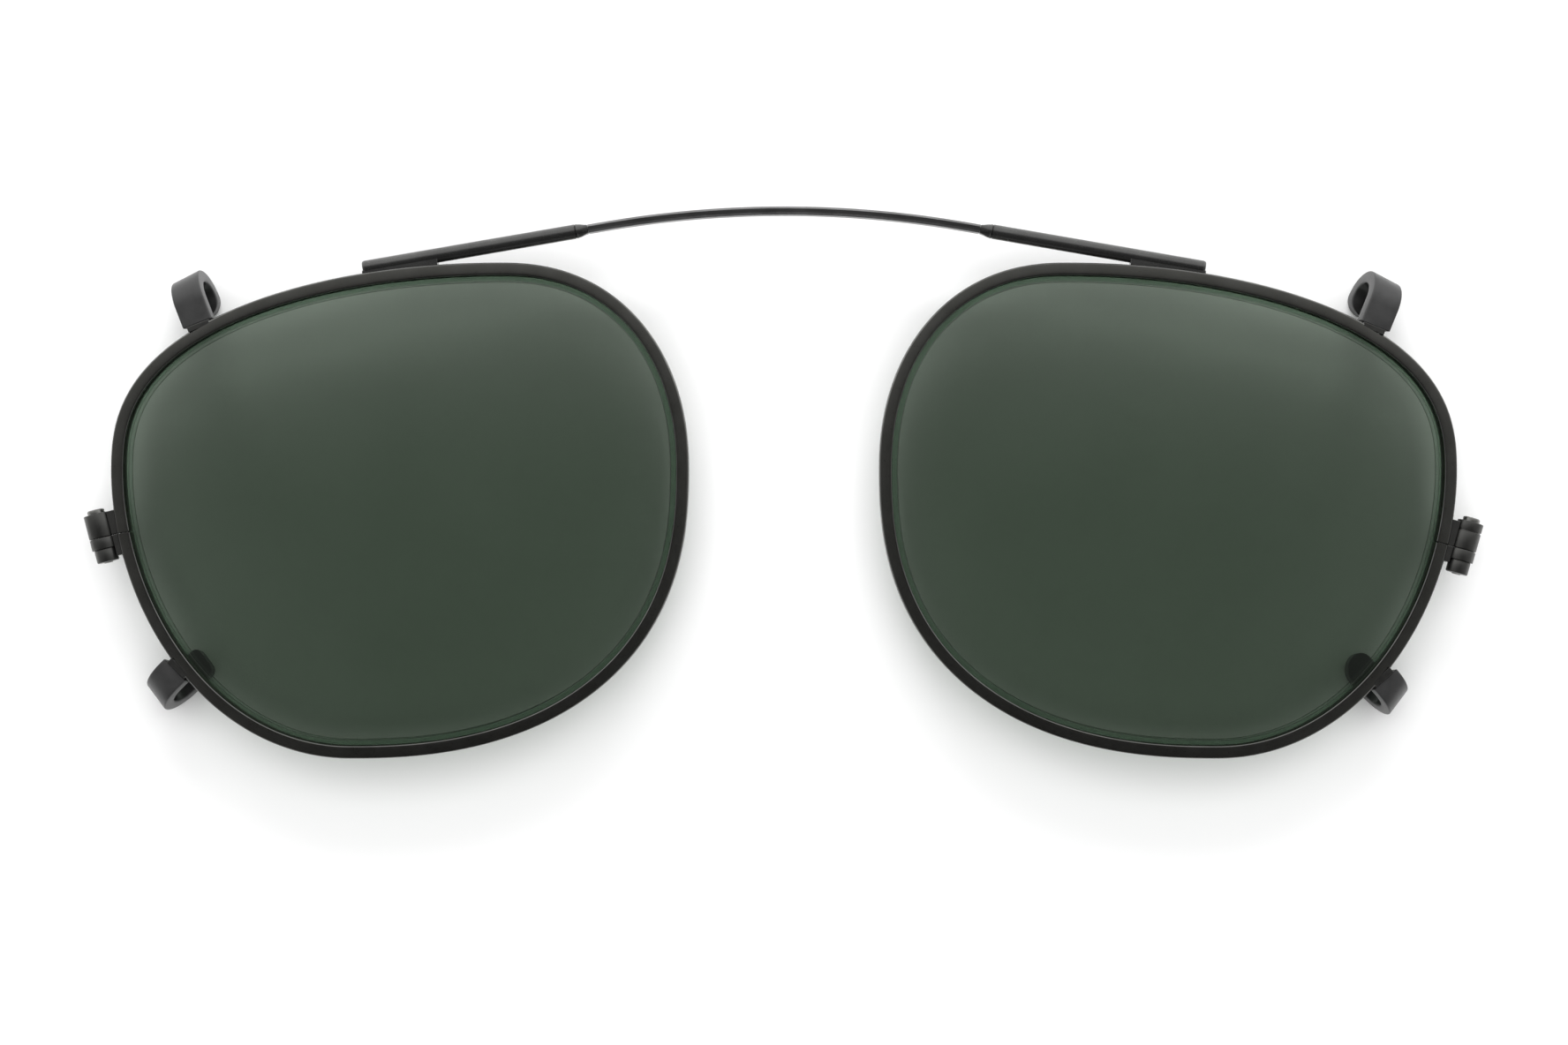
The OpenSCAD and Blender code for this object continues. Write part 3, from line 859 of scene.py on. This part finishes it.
def make_sleeve(row, side):
    """The moulded sleeve over the blade, with painted shade on the inside of its bend."""
    reach, tip = HOOKS[row, side][3:]
    skew, _, corner = ASKEW[row, side]
    r, lip = SLEEVE_W * corner, 0.06
    start = SLEEVE_START - abs(skew) * SLEEVE_W / 2 - lip
    path = refine_tip(hook_path(reach - BEND_R - SLEEVE_T / 2, start, tip), tip, r)
    outer = [strip_ring(p, tip_width(p, SLEEVE_W, tip, r), SLEEVE_T / 2, 0.16) for p in path]
    mouth = [strip_ring(path[k], BLADE_W / 2 + 0.02, BLADE_T / 2 + 0.02, 0.08) for k in (3, 0)]
    mouth.append(strip_ring(path[0], SLEEVE_W / 2 - lip, SLEEVE_T / 2 - lip, 0.12))
    rings = make_askew(mouth, row, side, SLEEVE_START) + make_askew(outer, row, side, SLEEVE_START + lip)
    verts, faces, _ = loft(rings)
    around = len(rings[0])
    # The strips on the side of the section that faces the middle of the bend, which get the painted shade
    inside = range(around * 5 // 8 + 1, around * 3 // 4 + 1)
    plain, dark = 0, 1
    slots = [dark if f // around >= len(mouth) and f % around in inside else plain
             for f in range(len(faces) - 2)] + [plain, plain]
    sleeve = build(f"sleeve_{row}_{side}_moulded", verts, faces, hook_place(row, side),
                   [SLEEVE_PLASTIC, SLEEVE_PAINTED_SHADE], slots=slots, sharp=45)
    settle(sleeve, HALF[side], f"sleeve_{row}_{side}")


# ---- closing blocks ----
def barrel_profile(d, low, high, bore, r):
    """Half section of a bored barrel whose outer edges are softened by r."""
    ease = r * 0.3
    return [(low + r, d / 2), (high - r, d / 2), (high - ease, d / 2 - ease), (high, d / 2 - r),
            (high, bore / 2), (low, bore / 2), (low, d / 2 - r), (low + ease, d / 2 - ease)]


def block_plate(name, side, low, high):
    """Thin plate between the barrels and the eyewire's outer edge."""
    place = block_place(side)
    to_block = place.inverted() @ eye_place(side)
    split = OUTLINE.nearest(quarter_point(TEMPLE_DOWN, BLOCK_PLACE[side]))
    wire = [to_block @ OUTLINE.inset(split + d * 0.05, 0.04).to_3d() for d in range(-90, 91)]
    wire = sorted((p.y, p.x) for p in wire)
    inner = []
    for i in range(9):
        y = low + (high - low) * i / 8
        x = min(wire, key=lambda w: abs(w[0] - y))[1]
        inner.append((x, y))
    barrel_x, least = BARREL_OUT - BARREL_D / 2 + 0.14, 0.3
    outline = inner + [(max(barrel_x, x + least), y) for x, y in (inner[-1], inner[0])]
    obj = prism(name, outline, -PLATE_Z / 2, PLATE_Z / 2, place, BLOCK_METAL, 0.05)
    apply_modifier(obj, "edges")
    return obj


def make_barrel(side, d, low, high, bore, edge=0.07):
    """A bored barrel on the closing screw's axis, from low to high along it."""
    return lathe("barrel", barrel_profile(d, low, high, bore, edge), block_place(side) @ BARREL_AXIS,
                 BLOCK_METAL, closed=True)


def make_block(side):
    """Upper and lower barrels on their plates. The right upper barrel has a groove round it."""
    gap = SPLIT_GAP / 2
    bore = SCREW_D + 0.06
    top = UPPER_LEN[side]
    if side == RIGHT:
        groove_end, groove_d, lap = GROOVE_AT + GROOVE_W, BARREL_D - 0.2, 0.05
        upper = [make_barrel(side, BARREL_D, gap, GROOVE_AT, bore),
                 make_barrel(side, BARREL_D, groove_end, top, bore),
                 make_barrel(side, groove_d, GROOVE_AT - lap, groove_end + lap, bore, 0.02)]
    else:
        upper = [make_barrel(side, BARREL_D, gap, top, bore)]
    upper.append(block_plate("plate", side, gap, PLATE_UP[side]))
    obj = join(f"closing_block_upper_{side}_barrel", upper)
    settle(obj, HALF[side], f"closing_block_upper_{side}")

    step = -gap - LOWER_COLLAR
    lower = [make_barrel(side, BARREL_D, step, -gap, SCREW_D),
             make_barrel(side, LOWER_D, -gap - LOWER_LEN, step + 0.02, SCREW_D, 0.12),
             block_plate("plate", side, -PLATE_DOWN[side], -gap)]
    obj = join(f"closing_block_lower_{side}_barrel", lower)
    settle(obj, HALF[side], f"closing_block_lower_{side}")


def make_screw(side):
    """Cheese-head screw with a real slot."""
    place = block_place(side) @ BARREL_AXIS
    seat, head = UPPER_LEN[side], UPPER_LEN[side] + HEAD_H
    bottom = -SPLIT_GAP / 2 - LOWER_LEN - 0.1
    r, shank, axis = HEAD_D / 2, SCREW_D / 2 - 0.005, 2 * AXIS
    profile = [(bottom, axis), (bottom, shank - 0.12), (bottom + 0.1, shank), (seat, shank), (seat, r),
               (head - 0.12, r), (head - 0.05, r - 0.04), (head, r - 0.12), (head, axis)]
    screw = lathe(f"closing_screw_{side}_slotted", profile, place, SCREW_METAL)
    slot_floor, above, reach, half_slot = head - 0.2, head + 1, 2, 0.125
    cutter = prism("slot", [(slot_floor, -reach), (above, -reach), (above, reach), (slot_floor, reach)],
                   -half_slot, half_slot, place, SCREW_METAL, 0.0)
    cutter.modifiers.clear()
    cut = screw.modifiers.new("slot", "BOOLEAN")
    cut.operation = "DIFFERENCE"
    cut.solver = "EXACT"
    cut.object = cutter
    apply_modifier(screw, "slot")
    bpy.data.objects.remove(cutter)
    settle(screw, HALF[side], f"closing_screw_{side}")


make_bow()
for side in SIDES:
    make_rim(side)
    make_lens(side)
    make_tube_parts(side)
    make_spring(side)
    make_saddle(side)
    for row in (UPPER, LOWER):
        make_blade(row, side)
        make_sleeve(row, side)
    make_block(side)
    make_screw(side)


# ---- floor, light and camera ----
FLOOR_SIZE, FLOOR_Z = 3.0, -0.00002


def make_floor():
    bpy.ops.mesh.primitive_plane_add(size=FLOOR_SIZE, location=(0, 0, FLOOR_Z))
    floor = bpy.context.object
    floor.name = "floor"
    floor.data.materials.append(principled("pale_floor", (0.9, 0.9, 0.9), 0.0, 0.9))


def aim(obj, target):
    direction = Vector(target) - obj.location
    obj.rotation_euler = direction.to_track_quat("-Z", "Y").to_euler()


def make_area(name, azimuth, elevation, distance, size, power):
    """A soft panel; azimuth 0 is the brow side, +90 the right."""
    data = bpy.data.lights.new(name, "AREA")
    data.shape = "RECTANGLE"
    data.size, data.size_y = size
    data.energy = power
    obj = bpy.data.objects.new(name, data)
    bpy.context.scene.collection.objects.link(obj)
    a, e = math.radians(azimuth), math.radians(elevation)
    obj.location = Vector((math.sin(a) * math.cos(e), math.cos(a) * math.cos(e), math.sin(e))) * distance
    aim(obj, (0, 0, 0))
    obj.visible_glossy = False


def make_world():
    """A studio that is dark overhead and glows towards the brow side, with dimmer sides."""
    world = bpy.data.worlds.new("studio")
    bpy.context.scene.world = world
    world.use_nodes = True
    nodes, links = world.node_tree.nodes, world.node_tree.links
    background = nodes["Background"]
    place = nodes.new("ShaderNodeTexCoord")
    split = nodes.new("ShaderNodeSeparateXYZ")
    links.new(place.outputs["Generated"], split.inputs["Vector"])

    def ramp(value, start, end, low, high):
        node = nodes.new("ShaderNodeMapRange")
        node.interpolation_type = "SMOOTHSTEP"
        for key, number in (("From Min", start), ("From Max", end), ("To Min", low), ("To Max", high)):
            node.inputs[key].default_value = number
        links.new(value, node.inputs["Value"])
        return node.outputs["Result"]

    def math_node(operation, *values):
        node = nodes.new("ShaderNodeMath")
        node.operation = operation
        for socket, value in zip(node.inputs, values):
            links.new(value, socket)
        return node.outputs["Value"]

    brow = ramp(split.outputs["Y"], 0.0, 0.6, 0.04, 0.85)
    horizon = ramp(split.outputs["Z"], 0.0, 0.6, 0.25, 0.0)
    sides = ramp(math_node("ABSOLUTE", split.outputs["X"]), 0.1, 0.9, 0.0, 0.3)
    total = math_node("ADD", math_node("ADD", brow, horizon), sides)
    links.new(total, background.inputs["Strength"])
    background.inputs["Color"].default_value = (1, 1, 1, 1)


# Width of the picture at FOCUS_Z, and the camera's height over it, in millimetres
PICTURE_W = 148.0
CAMERA_HEIGHT = 265.0
CAMERA_Y = -3.83
FOCUS_Z = 5.6


def make_camera():
    """Looks straight down, from the photograph's distance."""
    data = bpy.data.cameras.new("camera")
    data.sensor_width = 36
    data.lens = CAMERA_HEIGHT * data.sensor_width / PICTURE_W
    data.clip_start, data.clip_end = 0.01, 10
    camera = bpy.data.objects.new("camera", data)
    bpy.context.scene.collection.objects.link(camera)
    camera.location = (0, CAMERA_Y * MM, (CAMERA_HEIGHT + FOCUS_Z) * MM)
    bpy.context.scene.camera = camera


make_floor()
make_world()
make_area("brow_panel", azimuth=0, elevation=20, distance=1.0, size=(0.8, 0.55), power=9)
make_area("top_panel", azimuth=0, elevation=86, distance=1.2, size=(1.8, 1.8), power=16.7)
make_camera()
bpy.context.scene.view_settings.view_transform = "Standard"
